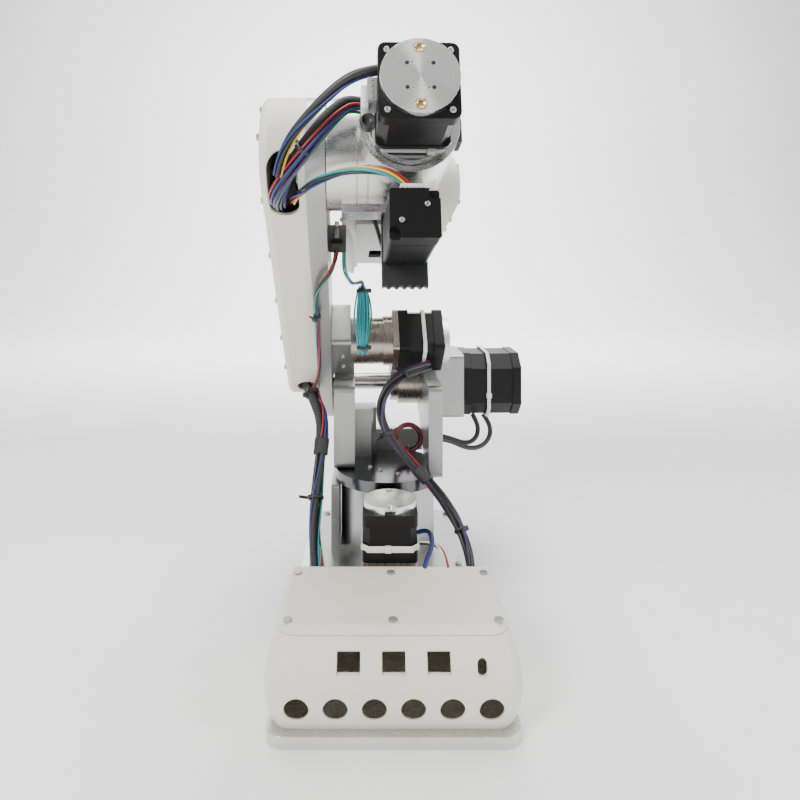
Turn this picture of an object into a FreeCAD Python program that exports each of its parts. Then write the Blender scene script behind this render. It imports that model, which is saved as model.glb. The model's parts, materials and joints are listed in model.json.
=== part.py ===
import FreeCAD, Part
import math
import os

from FreeCAD import Placement, Rotation, Vector

# Six-axis desktop robot arm, millimetres.
# Row frame: +Z up, +Y the way the robot faces, +X to its right, origin on the table
# under the base joint. The arm is stored folded back, as it stands at rest.

# ---- driving dimensions -------------------------------------------------------
REST_YAW = 2.3            # how far the turret is turned at rest, degrees
REST_LEAN = 49.5          # the upper arm leans back from vertical
REST_PITCH = 14.0         # the forearm points this far below the horizon
SHOULDER_Y = 64.2         # shoulder axis in front of the base axis
SHOULDER_Z = 169.8        # shoulder axis above the table
ARM_LENGTH = 305.0        # shoulder axis to elbow axis
FOREARM_LENGTH = 222.6    # elbow axis to wrist axis
FLANGE_REACH = 41.0       # wrist axis to tool flange face

RUNNING = 0.05            # radial clearance of shafts in their bores
FLOAT = 0.3               # gap between faces that move past each other

NEMA23 = 60.0             # shoulder motor across flats
NEMA17 = 42.3
NEMA11 = 28.0

PLATE_HALF_X = 80.0
PLATE_REAR = -203.0
PLATE_FRONT = 75.0
PLATE_T = 8.0
BOX_HALF_X = 66.0         # drive box under the turret
BOX_REAR = -106.0
BOX_FRONT = 62.0
BOX_TOP = 41.0
BOLT_X = 146.0            # base bolt spacing
BOLT_Y = 110.0
BOLT_R = 3.3

J1_MOTOR_Y = -82.0
J1_PULLEY_R = 48.0
J1_PINION_R = 12.0
TURRET_R = 47.0
TURRET_BOTTOM = 98.0
TURRET_TOP = 107.5
SPINDLE_R = 15.0

WALL_LEFT_OUT = -48.5
WALL_LEFT_IN = -29.8
WALL_RIGHT_IN = 36.0
WALL_RIGHT_OUT = 48.5
WALL_REAR = -12.0
WALL_TOP = 180.0
SHOULDER_R = 38.0
J2_SHAFT_R = 8.0
J2_MOTOR_X = 75.4
J2_MOTOR_LENGTH = 55.6

PLATE_IN = -50.2          # upper arm plate, inner and outer face
PLATE_OUT = -62.5
COVER_OUT = -91.0
COVER_WALL = 2.5
ARM_R_LOW = 34.0
ARM_R_HIGH = 37.0
J3_MOTOR_ALONG = 75.0     # elbow motor, from the shoulder axis up the arm
J3_PULLEY_R = 23.0

J4_DROP = 60.0            # wrist-roll motor below the roll axis
J4_PULLEY_R = 24.0
J4_PINION_R = 8.0
ROLL_SHAFT_R = 19.95
ROLL_HOUSING_R = 30.0
FOREARM_START = 54.0
FOREARM_SWEEP_R = 49.2    # nothing on the forearm stands further from the roll axis
WRIST_SHAFT_R = 6.0

CABLE_R = 2.3


# ---- small helpers ------------------------------------------------------------
def box(x0, x1, y0, y1, z0, z1):
    return Part.makeBox(x1 - x0, y1 - y0, z1 - z0, Vector(x0, y0, z0))


def rod_x(radius, x0, x1, y=0.0, z=0.0):
    return Part.makeCylinder(radius, x1 - x0, Vector(x0, y, z), Vector(1, 0, 0))


def rod_y(radius, y0, y1, x=0.0, z=0.0):
    return Part.makeCylinder(radius, y1 - y0, Vector(x, y0, z), Vector(0, 1, 0))


def rod_z(radius, z0, z1, x=0.0, y=0.0):
    return Part.makeCylinder(radius, z1 - z0, Vector(x, y, z0), Vector(0, 0, 1))


def joined(*shapes):
    whole = shapes[0].fuse(list(shapes[1:]))
    return whole.removeSplitter()


def cut(shape, *tools):
    return shape.cut(list(tools))


def round_along(shape, direction, radius):
    """Round the straight edges that run along a direction."""
    way = Vector(*direction)
    edges = []
    for edge in shape.Edges:
        if edge.Curve.TypeId != "Part::GeomLine":
            continue
        if abs(edge.tangentAt(edge.FirstParameter).dot(way)) > 0.999:
            edges.append(edge)
    return shape.makeFillet(radius, edges)


def prism_x(points, x0, x1):
    """A straight-sided outline in (y, z), pushed along X."""
    corners = [Vector(x0, y, z) for y, z in points]
    face = Part.Face(Part.makePolygon(corners + corners[:1]))
    return face.extrude(Vector(x1 - x0, 0, 0))


def strap_outline(far, radius_near, radius_far):
    """Face in local (u, v) round two circles, at 0 and at (0, far), with tangent sides."""
    tilt = math.asin((radius_near - radius_far) / far)
    side = Vector(math.cos(tilt), math.sin(tilt), 0)
    mirror = Vector(-side.x, side.y, 0)
    top = Vector(0, far, 0)
    near_right = side * radius_near
    near_left = mirror * radius_near
    far_right = top + side * radius_far
    far_left = top + mirror * radius_far
    edges = [
        Part.Arc(near_left, Vector(0, -radius_near, 0), near_right).toShape(),
        Part.LineSegment(near_right, far_right).toShape(),
        Part.Arc(far_right, top + Vector(0, radius_far, 0), far_left).toShape(),
        Part.LineSegment(far_left, near_left).toShape(),
    ]
    return Part.Face(Part.Wire(edges))


def strap(far, radius_near, radius_far, width):
    return strap_outline(far, radius_near, radius_far).extrude(Vector(0, 0, width))


def belt_loop(far, radius_near, radius_far, width, thickness=2.0, slack=0.1):
    outer = strap(far, radius_near + slack + thickness, radius_far + slack + thickness, width)
    inner = strap(far, radius_near + slack, radius_far + slack, width)
    return outer.cut(inner)


# A strap is drawn flat; these turn it so that it lies across X, Y or Z.
STRAP_TO_X = Placement(Vector(0, 0, 0), Rotation(Vector(0, 1, 0), Vector(0, 0, 1), Vector(1, 0, 0)))
STRAP_TO_Y_DOWN = Placement(Vector(0, 0, 0), Rotation(Vector(1, 0, 0), Vector(0, 0, -1), Vector(0, 1, 0)))
STRAP_TO_Z_BACK = Placement(Vector(0, 0, 0), Rotation(Vector(-1, 0, 0), Vector(0, -1, 0), Vector(0, 0, 1)))


def placed(shape, placement):
    moved = shape.copy()
    moved.Placement = placement.multiply(moved.Placement)
    return moved


def shifted(shape, x=0.0, y=0.0, z=0.0):
    return placed(shape, Placement(Vector(x, y, z), Rotation()))


def pulley(radius, width, flange=1.5, flange_t=1.0):
    """Belt pulley about +Z with a thin flange on each side, its belt face from 0 to width."""
    return joined(
        rod_z(radius, 0, width),
        rod_z(radius + flange, -flange_t, 0),
        rod_z(radius + flange, width, width + flange_t),
    )


# ---- motors -------------------------------------------------------------------
def stepper(size, length, corner):
    """Square stepper motor along +Z: end caps with a slimmer laminated middle."""
    half = size / 2
    cap = min(9.0, length / 4)
    body = round_along(box(-half, half, -half, half, 0, length), (0, 0, 1), corner)
    waist = box(-half - 1, half + 1, -half - 1, half + 1, cap, length - cap)
    step = 0.7
    core = box(-half + step, half - step, -half + step, half - step, cap, length - cap)
    core = core.makeChamfer(corner + 1.0, [e for e in core.Edges if abs(e.tangentAt(0).z) > 0.99])
    return body.cut(waist.cut(core))


def motor_disc(radius, thickness):
    """Rear adapter disc along +Z with two counterbored screws and four small holes."""
    disc = rod_z(radius, 0, thickness)
    tools = []
    for side in (-1, 1):
        tools.append(rod_z(3.2, thickness - 2.6, thickness + 1, 0, side * 0.76 * radius))
        for across in (-1, 1):
            tools.append(rod_z(0.75, thickness - 2.0, thickness + 1, across * 4.2, side * 7.0))
    return cut(disc, *tools)


# ---- cords --------------------------------------------------------------------
def cord_tube(name, points, radius):
    """Straight runs joined by tangent arcs, each arc as large as its two runs allow."""
    spots = [Vector(*p) for p in points]
    edges = []
    start = spots[0]
    radii = []
    for before, corner, after in zip(spots, spots[1:], spots[2:]):
        way_in = (corner - before).normalize()
        way_out = (after - corner).normalize()
        half_turn = way_in.getAngle(way_out) / 2
        run = min((corner - before).Length, (after - corner).Length)
        set_back = 0.45 * run
        bend = set_back / math.tan(half_turn)
        radii.append(bend)
        arc_in = corner - way_in * set_back
        arc_out = corner + way_out * set_back
        towards = (way_out - way_in).normalize()
        centre = corner + towards * (bend / math.cos(half_turn))
        middle = centre - towards * bend
        edges.append(Part.LineSegment(start, arc_in).toShape())
        edges.append(Part.Arc(arc_in, middle, arc_out).toShape())
        start = arc_out
    edges.append(Part.LineSegment(start, spots[-1]).toShape())
    path = Part.Wire(edges)
    first_way = (spots[1] - spots[0]).normalize()
    section = Part.Wire(Part.makeCircle(radius, spots[0], first_way))
    tube = path.makePipeShell([section], True, False)
    expected = math.pi * radius**2 * path.Length
    print(f"{name}: length {path.Length:.1f} mm, volume ratio {tube.Volume / expected:.4f}, "
          f"smallest radius {min(radii):.1f} mm = {min(radii) / (2 * radius):.1f} diameters")
    return tube


# ---- placements of the moving groups at rest ----------------------------------
TURRET = Placement(Vector(0, 0, 0), Rotation(Vector(0, 0, 1), REST_YAW))
SHOULDER = Placement(Vector(0, SHOULDER_Y, SHOULDER_Z), Rotation(Vector(1, 0, 0), REST_LEAN))
ELBOW_Y = SHOULDER_Y - ARM_LENGTH * math.sin(math.radians(REST_LEAN))
ELBOW_Z = SHOULDER_Z + ARM_LENGTH * math.cos(math.radians(REST_LEAN))
ELBOW = Placement(Vector(0, ELBOW_Y, ELBOW_Z), Rotation(Vector(1, 0, 0), -REST_PITCH))

PARTS = {}


def keep(name, shape, group=None):
    """Place a part with its group and remember it under its node name."""
    for place in reversed(group or []):
        shape = placed(shape, place)
    PARTS[name] = shape


ON_TURRET = [TURRET]
ON_ARM = [TURRET, SHOULDER]
ON_ELBOW = [TURRET, ELBOW]


# ---- base ---------------------------------------------------------------------
def base_plate():
    plate = box(-PLATE_HALF_X, PLATE_HALF_X, PLATE_REAR, PLATE_FRONT, 0, PLATE_T)
    plate = round_along(plate, (0, 0, 1), 12.0)
    holes = []
    for sx in (-1, 1):
        for sy in (-1, 1):
            holes.append(rod_z(BOLT_R, -1, PLATE_T + 1, sx * BOLT_X / 2, sy * BOLT_Y / 2))
    return cut(plate, *holes)


def base_frame():
    wall = 8.0
    outer = round_along(
        box(-BOX_HALF_X, BOX_HALF_X, BOX_REAR, BOX_FRONT, PLATE_T, BOX_TOP - 8), (0, 0, 1), 8.0)
    inner = box(-BOX_HALF_X + wall, BOX_HALF_X - wall, BOX_REAR + wall, BOX_FRONT - wall,
                PLATE_T - 1, BOX_TOP)
    return outer.cut(inner)


def base_top_plate():
    plate = round_along(
        box(-BOX_HALF_X, BOX_HALF_X, BOX_REAR, BOX_FRONT, BOX_TOP - 8, BOX_TOP), (0, 0, 1), 8.0)
    return cut(plate, rod_z(SPINDLE_R + 3, 0, 60), rod_z(7.0, 0, 60, 0, J1_MOTOR_Y))


ENCLOSURE_TOP = 67.0
ENCLOSURE_LEVELS = 9      # cross-sections of the bulging enclosure, from bottom to top
ENCLOSURE_FRONT = -108.5
LID_SEAM = 62.5
HOLE_PITCH = 24.0
LID_SCREW_X = 68.0
LID_SCREW_Y = (-119.0, -181.0)
SCREW_R = 1.6


def enclosure_section(height):
    """Half width, rear edge and corner radius of the bulging enclosure at one height."""
    if height < 34.0:
        low = (34.0 - height) / 26.0
        half = 81.5 - 4.0 * low**2
        rear = -204.6 + 8.6 * low**2
    else:
        high = (height - 34.0) / 33.0
        half = 81.5 - 9.5 * high**2.2
        rear = -204.6 + 19.6 * high**2.2
    corner = 16.0 - 4.0 * ((height - 34.0) / 33.0)**2
    return half, rear, corner


def enclosure_loft(inset, drop):
    wires = []
    for level in range(ENCLOSURE_LEVELS):
        height = PLATE_T + (ENCLOSURE_TOP - PLATE_T) * level / (ENCLOSURE_LEVELS - 1)
        half, rear, corner = enclosure_section(height)
        x = half - inset
        y0 = rear + inset
        y1 = ENCLOSURE_FRONT - inset
        r = corner - inset
        h = height - drop
        d = r * (1 - math.sqrt(0.5))
        edges = [
            Part.LineSegment(Vector(x, y0 + r, h), Vector(x, y1, h)).toShape(),
            Part.LineSegment(Vector(x, y1, h), Vector(-x, y1, h)).toShape(),
            Part.LineSegment(Vector(-x, y1, h), Vector(-x, y0 + r, h)).toShape(),
            Part.Arc(Vector(-x, y0 + r, h), Vector(-x + d, y0 + d, h), Vector(-x + r, y0, h)).toShape(),
            Part.LineSegment(Vector(-x + r, y0, h), Vector(x - r, y0, h)).toShape(),
            Part.Arc(Vector(x - r, y0, h), Vector(x - d, y0 + d, h), Vector(x, y0 + r, h)).toShape(),
        ]
        wires.append(Part.Wire(edges))
    return Part.makeLoft(wires, True, False)


def enclosure_parts():
    outer = enclosure_loft(0.0, 0.0)
    inner = enclosure_loft(2.6, 3.0)
    shell = outer.cut(inner)
    rear = box(-200, 200, -260, 0, 0, LID_SEAM)
    body = shell.common(rear)
    lid = shell.cut(rear)
    holes = []
    for place in range(6):
        holes.append(rod_y(7.7, -215, -190, (place - 2.5) * HOLE_PITCH, 24.6))
    for place in (-1, 0, 1):
        holes.append(box(place * 28 - 7.2, place * 28 + 7.2, -215, -190, 45.3, 56.3))
    slot = joined(rod_y(3.0, -215, -190, 54.5, 46.9), rod_y(3.0, -215, -190, 54.5, 50.5),
                  box(51.5, 57.5, -215, -190, 46.9, 50.5))
    entries = [rod_y(8.0, -115, -100, x, 50.0) for x in HARNESS_ENTRY_X]
    screw_holes = []
    screws = []
    for x in (-LID_SCREW_X, 0, LID_SCREW_X):
        for y in LID_SCREW_Y:
            screw_holes.append(rod_z(SCREW_R + RUNNING, 50, 70, x, y))
            stem = rod_z(SCREW_R, 56, ENCLOSURE_TOP, x, y)
            head = rod_z(2.9, ENCLOSURE_TOP, ENCLOSURE_TOP + 1.4, x, y)
            screws.append(joined(stem, head))
    body = cut(body, slot, *holes, *entries, *screw_holes)
    lid = cut(lid, *screw_holes)
    return body, lid, Part.makeCompound(screws)


def j1_motor():
    body = stepper(NEMA17, 35.5, 4.0)
    return shifted(body, 0, J1_MOTOR_Y, 67.0)


def j1_motor_disc():
    disc = motor_disc(20.5, 5.5)
    slot = box(-4.2, 4.2, -22, -16.5, -1, 7)
    return shifted(disc.cut(slot), 0, J1_MOTOR_Y, 102.5)


def j1_gearbox():
    bore = rod_z(4 + RUNNING, 0, 52, 0, J1_MOTOR_Y)
    body = joined(rod_z(18, BOX_TOP, 63, 0, J1_MOTOR_Y),
                  shifted(round_along(box(-21, 21, -21, 21, 63, 67), (0, 0, 1), 4.0), 0, J1_MOTOR_Y))
    return body.cut(bore)


def j1_housing():
    """Bearing tower of the base joint, with the flat guide plate on its left side."""
    tower = rod_z(41.6, BOX_TOP, TURRET_BOTTOM - 1)
    foot = box(-49.6, -20, -25, 25, BOX_TOP, BOX_TOP + 5)
    guide = round_along(box(-49.6, -42.4, -25, 25, BOX_TOP, TURRET_BOTTOM - 1), (1, 0, 0), 3.0)
    solid = joined(tower, foot, guide)
    return cut(solid, rod_z(26, 0, 200))


def j1_bearings():
    rings = []
    for low in (BOX_TOP + 4, TURRET_BOTTOM - 14):
        rings.append(rod_z(26, low, low + 9).cut(rod_z(SPINDLE_R + RUNNING, 0, 200)))
    return Part.makeCompound(rings)


def j1_belt():
    loop = belt_loop(-J1_MOTOR_Y, J1_PULLEY_R, J1_PINION_R, 9.0)
    return shifted(placed(loop, STRAP_TO_Z_BACK), 0, 0, 15.5)


def j1_drive_pulley():
    shaft = rod_z(4, 12, 50)
    return shifted(joined(shaft, shifted(pulley(J1_PINION_R, 10), 0, 0, 15)), 0, J1_MOTOR_Y)


# ---- turret -------------------------------------------------------------------
def turret_disc():
    disc = rod_z(TURRET_R, TURRET_BOTTOM, TURRET_TOP)
    return disc.cut(box(WALL_RIGHT_IN, 60, -60, 60, 90, 120))


def turret_spindle():
    hub = shifted(pulley(J1_PULLEY_R, 10), 0, 0, 15)
    return joined(rod_z(SPINDLE_R, 12, TURRET_BOTTOM), hub)


def wall_outline(x0, x1, foot, foot_front):
    """Side wall: upright rear edge, flat shelf and a round head about the shoulder axis."""
    slab = prism_x([(WALL_REAR, foot), (WALL_REAR, WALL_TOP), (SHOULDER_Y, WALL_TOP),
                    (SHOULDER_Y + 34, 150), (foot_front, foot)], x0, x1)
    slab = round_along(slab, (1, 0, 0), 5.0)
    return joined(slab, rod_x(SHOULDER_R, x0, x1, SHOULDER_Y, SHOULDER_Z))


def turret_bracket():
    # The front of each foot stays inside the circle that the base motor's disc leaves free.
    left = wall_outline(WALL_LEFT_OUT, WALL_LEFT_IN, TURRET_TOP, 33.0)
    right = wall_outline(WALL_RIGHT_IN, WALL_RIGHT_OUT, TURRET_BOTTOM, 19.0)
    web = box(WALL_LEFT_IN, WALL_RIGHT_IN, 41, 49, TURRET_TOP, 128)
    gusset = box(WALL_LEFT_IN, -9, 22, 49, TURRET_TOP, 152)
    hollow = rod_z(19, 100, 160, 4, 16)
    whole = joined(left, right, web, gusset.cut(hollow))
    return cut(whole, rod_x(22, 30, 60, SHOULDER_Y, SHOULDER_Z),
               rod_x(J2_SHAFT_R + RUNNING, -60, -20, SHOULDER_Y, SHOULDER_Z))


def j2_gearbox():
    body = joined(rod_x(22, 13.3, WALL_RIGHT_OUT, SHOULDER_Y, SHOULDER_Z),
                  rod_x(19, 5.7, 13.3, SHOULDER_Y, SHOULDER_Z))
    return body.cut(rod_x(J2_SHAFT_R + RUNNING, 0, 20, SHOULDER_Y, SHOULDER_Z))


def j2_flange_block():
    half = NEMA23 / 2
    block = box(WALL_RIGHT_OUT, J2_MOTOR_X, SHOULDER_Y - half, SHOULDER_Y + half,
                SHOULDER_Z - half, SHOULDER_Z + half)
    return round_along(block, (1, 0, 0), 3.0)


def j2_motor():
    half = NEMA23 / 2
    cap = 8.0
    end = J2_MOTOR_X + J2_MOTOR_LENGTH
    body = box(J2_MOTOR_X, end, -half, half, -half, half)
    body = body.makeChamfer(12.5, [e for e in body.Edges if abs(e.tangentAt(0).x) > 0.99])
    groove = box(J2_MOTOR_X + cap, end - cap, -half - 1, half + 1, -half - 1, half + 1)
    core = box(J2_MOTOR_X + cap, end - cap, -half + 0.8, half - 0.8, -half + 0.8, half - 0.8)
    core = core.makeChamfer(12.8, [e for e in core.Edges if abs(e.tangentAt(0).x) > 0.99])
    body = body.cut(groove.cut(core))
    return shifted(body, 0, SHOULDER_Y, SHOULDER_Z)


def j2_motor_disc():
    disc = placed(motor_disc(18.5, 3.0), Placement(Vector(0, 0, 0), Rotation(Vector(0, 1, 0), 90)))
    return shifted(disc, J2_MOTOR_X + J2_MOTOR_LENGTH, SHOULDER_Y, SHOULDER_Z)


# ---- upper arm: X across, Y forward of the arm, Z from shoulder to elbow -------
def arm_strap(near, far, x0, x1, low=0.0):
    outline = placed(strap(ARM_LENGTH - low, near, far, x1 - x0), STRAP_TO_X)
    return shifted(outline, x0, 0, low)


def arm_plate():
    plate = arm_strap(ARM_R_LOW, ARM_R_HIGH, PLATE_OUT, PLATE_IN)
    return cut(plate, rod_x(J2_SHAFT_R, -80, -40),
               rod_x(12 + RUNNING, -80, -40, 0, ARM_LENGTH),
               rod_x(4 + FLOAT, -80, -40, 0, J3_MOTOR_ALONG))


def j2_shaft():
    return joined(rod_x(J2_SHAFT_R, PLATE_OUT, 13.0), rod_x(22, PLATE_OUT - 6, PLATE_OUT))


COVER_LOW = 35.0
COVER_HALF_LOW = 30.0


def cover_block(inset, x0, x1):
    low = COVER_HALF_LOW - inset
    high = ARM_R_HIGH - inset
    sides = prism_x([(-low, COVER_LOW + inset), (low, COVER_LOW + inset),
                     (high, ARM_LENGTH), (-high, ARM_LENGTH)], x0, x1)
    return joined(sides, rod_x(high, x0, x1, 0, ARM_LENGTH))


def arm_cover():
    outer = cover_block(0, COVER_OUT, PLATE_OUT)
    rim = [e for e in outer.Edges
           if abs(e.BoundBox.XMin - COVER_OUT) < 0.01 and abs(e.BoundBox.XMax - COVER_OUT) < 0.01]
    outer = outer.makeFillet(6.0, rim)
    shell = outer.cut(cover_block(COVER_WALL, COVER_OUT + COVER_WALL, PLATE_OUT + 1))
    middle = (POCKET_X0 + POCKET_X1) / 2
    end_r = (POCKET_X1 - POCKET_X0) / 2
    pocket = joined(box(POCKET_X0, POCKET_X1, -60, -20, POCKET_LOW + end_r, POCKET_HIGH - end_r),
                    rod_y(end_r, -60, -20, middle, POCKET_LOW + end_r),
                    rod_y(end_r, -60, -20, middle, POCKET_HIGH - end_r))
    entry = rod_y(HARNESS_R + ENTRY_ROOM, -45, -20, ENTRY_X, ENTRY_ALONG)
    return shell.cut(pocket).cut(entry)


POCKET_X0 = -86.0         # cable pocket in the rear edge of the arm cover
POCKET_X1 = -67.0
POCKET_LOW = 286.0
POCKET_HIGH = 332.0
HARNESS_R = 6.0           # left harness, which enters the cover near its low end
ENTRY_X = -73.3
ENTRY_ALONG = 46.5
ENTRY_ROOM = 2.4          # between the harness and the edge of its hole
COVER_SCREWS = [(-27.0, 70.0), (-28.0, 120.0), (-29.0, 175.0), (-30.0, 232.0), (-31.0, 290.0),
                (27.0, 70.0), (28.0, 120.0), (29.0, 175.0), (30.0, 232.0), (31.0, 290.0),
                (-15.0, 332.0), (15.0, 332.0)]


def cover_screws():
    screws = []
    for y, z in COVER_SCREWS:
        screws.append(rod_x(2.4, COVER_OUT - 1.6, COVER_OUT, y * 0.86, z))
    return Part.makeCompound(screws)


def j3_mount_block():
    block = round_along(box(PLATE_IN, -33.5, -21, 21, 50, 105), (1, 0, 0), 4.0)
    return block.cut(rod_x(4 + FLOAT, -80, 0, 0, J3_MOTOR_ALONG))


def j3_gearbox():
    body = joined(rod_x(21, -33.5, -4, 0, J3_MOTOR_ALONG), rod_x(22.5, -4, 4, 0, J3_MOTOR_ALONG))
    face = round_along(box(4, 9.4, -21.15, 21.15, -21.15, 21.15), (1, 0, 0), 4.0)
    body = joined(body, shifted(face, 0, 0, J3_MOTOR_ALONG))
    return body.cut(rod_x(4 + RUNNING, -40, -14, 0, J3_MOTOR_ALONG))


def along_x(shape):
    return placed(shape, Placement(Vector(0, 0, 0), Rotation(Vector(0, 1, 0), 90)))


def j3_motor():
    return shifted(along_x(stepper(NEMA17, 40.0, 4.0)), 9.4, 0, J3_MOTOR_ALONG)


def j3_motor_disc():
    return shifted(along_x(motor_disc(20.5, 5.5)), 49.4, 0, J3_MOTOR_ALONG)


def j3_belt():
    loop = belt_loop(ARM_LENGTH - J3_MOTOR_ALONG, J3_PULLEY_R, J3_PULLEY_R, 9.0)
    return shifted(placed(loop, STRAP_TO_X), -78.5, 0, J3_MOTOR_ALONG)


def j3_pulley_at(height, shaft_r, reach):
    wheel = shifted(along_x(pulley(J3_PULLEY_R, 10)), -79, 0, 0)
    return shifted(joined(wheel, rod_x(shaft_r, -80, reach)), 0, 0, height)


def arm_limit_switch():
    body = box(PLATE_IN, -37.5, -24, -12, 233, 249)
    lever = box(-48, -40, -27, -24, 236, 246)
    return joined(body, lever)


# ---- elbow: Y along the roll axis, Z up from it --------------------------------
def elbow_housing():
    """Elbow barrel across the arm and the roll housing, with two fine seams round the barrel."""
    inner = PLATE_IN + 0.5
    steps = [(37, inner, -31.0), (36.2, -31.0, -30.2), (37, -30.2, -24.0), (36.2, -24.0, -23.2),
             (37, -23.2, -12.0), (29, -12.0, 20.0)]
    barrel = joined(*[rod_x(radius, x0, x1) for radius, x0, x1 in steps])
    whole = joined(barrel, rod_y(ROLL_HOUSING_R, -53, 38), box(-40, 15, -9, 8, -42, -26))
    switch_seat = box(26.5, 40, -41, -23, -7, 9)
    return cut(whole, rod_y(ROLL_SHAFT_R + RUNNING, -60, 60), switch_seat)


def j4_motor():
    """Small motor with a square encoder cover behind and a planetary gearbox in front."""
    half = NEMA11 / 2
    body = round_along(box(-half, half, -54, -0.5, -half, half), (0, 1, 0), 2.5)
    cover = round_along(box(-half, half, -72.7, -54.6, -half, half), (0, 1, 0), 1.5)
    neck = rod_y(12, -54.6, -54)
    corners = [rod_y(4.0, -74, -68, 11.5, 11.5), rod_y(4.0, -74, -68, -11.5, -11.5)]
    gears = rod_y(13.5, 8, 38)
    link = rod_y(13.5, -0.5, 8)
    whole = joined(body, cut(cover, *corners), neck, link, gears)
    return shifted(whole.cut(rod_y(3 + RUNNING, 25, 60)), 0, 0, -J4_DROP)


def j4_motor_mount():
    block = box(-14.65, 14.65, -0.5, 8, -J4_DROP - 28.5, -ROLL_HOUSING_R - 12)
    ribs = [rod_y(1.6, -2, 10, x, -J4_DROP - 28.9) for x in (-12.7, -7.6, -2.5, 2.5, 7.6, 12.7)]
    return cut(block, rod_y(13.5, -5, 20, 0, -J4_DROP), *ribs)


def j4_belt():
    loop = belt_loop(J4_DROP, J4_PULLEY_R, J4_PINION_R, 8.0)
    return shifted(placed(loop, STRAP_TO_Y_DOWN), 0, 41.5, 0)


def along_y(shape):
    return placed(shape, Placement(Vector(0, 0, 0), Rotation(Vector(1, 0, 0), -90)))


def j4_drive_pulley():
    wheel = shifted(along_y(pulley(J4_PINION_R, 9, 1.2, 0.8)), 0, 41, 0)
    return shifted(joined(wheel, rod_y(3, 26, 50.5)), 0, 0, -J4_DROP)


def elbow_limit_switch():
    body = box(26.5, 33, -40, -24, -6, 8)
    return joined(body, box(31, 33, -38, -36, 8, 32))


# ---- forearm ------------------------------------------------------------------
def forearm_spindle():
    tube = joined(rod_y(ROLL_SHAFT_R, -55, FOREARM_START), rod_y(26, -61, -54),
                  shifted(along_y(pulley(J4_PULLEY_R, 9, 1.2, 0.8)), 0, 41, 0))
    return tube.cut(rod_y(8, -70, 70))


def along_y_back(shape):
    return placed(shape, Placement(Vector(0, 0, 0), Rotation(Vector(1, 0, 0), 90)))


def j5_motor():
    body = shifted(along_y_back(stepper(NEMA17, 48.0, 4.0)), 0, -61, 0)
    return body.cut(rod_y(4 + RUNNING, -80, -60))


def j5_motor_disc():
    return shifted(along_y_back(motor_disc(20.5, 5.5)), 0, -109, 0)


WRIST_Y = FOREARM_LENGTH
SIDE_IN = 27.0
SIDE_OUT = 30.0


def forearm_frame():
    end = WRIST_Y - 30
    rear = box(-SIDE_OUT, SIDE_OUT, FOREARM_START, FOREARM_START + 6, -30, 30)
    front = box(-SIDE_OUT, SIDE_OUT, end - 6, end, -30, 30)
    plates = []
    for side in (-1, 1):
        x0 = min(side * SIDE_IN, side * SIDE_OUT)
        sheet = box(x0, x0 + 3, FOREARM_START, WRIST_Y, -30, 30)
        nose = rod_x(30, x0, x0 + 3, WRIST_Y, 0)
        plates.append(joined(sheet, nose))
    floor = box(-SIDE_OUT, SIDE_OUT, FOREARM_START, end, -33, -30)
    roof = box(-SIDE_OUT, SIDE_OUT, FOREARM_START, end, 30, 33)
    whole = joined(rear, front, floor, roof, *plates)
    return cut(whole, rod_y(8, 50, 70), rod_y(4 + RUNNING, end - 10, end + 10),
               rod_x(WRIST_SHAFT_R + RUNNING, -40, 40, WRIST_Y, 0),
               box(-18, -7, 140, 168, -40, -29))


def side_cover(depth, side):
    """Cover bulging out from a side plate, kept inside the swept radius of the forearm."""
    reach = SIDE_OUT + depth
    tall = 36.0
    x0 = min(side * SIDE_OUT, side * reach)
    slab = joined(box(x0, x0 + depth, FOREARM_START + tall, WRIST_Y, -tall, tall),
                  rod_x(tall, x0, x0 + depth, FOREARM_START + tall, 0),
                  rod_x(tall, x0, x0 + depth, WRIST_Y, 0))
    tube = rod_y(FOREARM_SWEEP_R - 1.2, FOREARM_START - 10, WRIST_Y + 50)
    slab = slab.common(tube)
    inner = joined(box(x0, x0 + depth, FOREARM_START + tall, WRIST_Y, -tall + 2.5, tall - 2.5),
                   rod_x(tall - 2.5, x0, x0 + depth, FOREARM_START + tall, 0),
                   rod_x(tall - 2.5, x0, x0 + depth, WRIST_Y, 0))
    inner = inner.common(rod_y(FOREARM_SWEEP_R - 4.0, FOREARM_START - 10, WRIST_Y + 50))
    return slab.cut(shifted(inner, -side * 2.5))


def lead_screw():
    return rod_y(4, -78, WRIST_Y - 32)


def j5_carriage():
    block = round_along(box(-20, 20, 108, 138, -18, 18), (0, 1, 0), 3.0)
    return block.cut(rod_y(4 + FLOAT, 90, 150))


def wrist_body():
    ears = []
    for side in (-1, 1):
        x0 = min(side * 16.0, side * 20.0)
        ears.append(rod_x(19, x0, x0 + 4, WRIST_Y, 0))
        ears.append(box(x0, x0 + 4, WRIST_Y, WRIST_Y + 28, -14, 14))
        stub = min(side * 16.0, side * 36.0)
        ears.append(rod_x(WRIST_SHAFT_R, stub, stub + 20, WRIST_Y, 0))
    front = round_along(box(-20, 20, WRIST_Y + 22, WRIST_Y + 30, -17, 17), (0, 1, 0), 4.0)
    return joined(front, *ears).cut(rod_y(6 + RUNNING, WRIST_Y, WRIST_Y + 50))


def j6_motor():
    body = round_along(box(-14, 14, WRIST_Y - 20, WRIST_Y + 21.8, -14, 14), (0, 1, 0), 2.5)
    return body.cut(rod_y(6 + RUNNING, WRIST_Y + 14, WRIST_Y + 50))


def tool_flange():
    face = WRIST_Y + FLANGE_REACH
    flange = joined(rod_y(20, face - 7, face), rod_y(6, WRIST_Y + 16, face - 6))
    holes = []
    for turn in range(4):
        angle = math.radians(45 + 90 * turn)
        x = 15.75 * math.cos(angle)
        z = 15.75 * math.sin(angle)
        holes.append(rod_y(2.6, face - 10, face + 1, x, z))
    return cut(flange, *holes)


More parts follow.
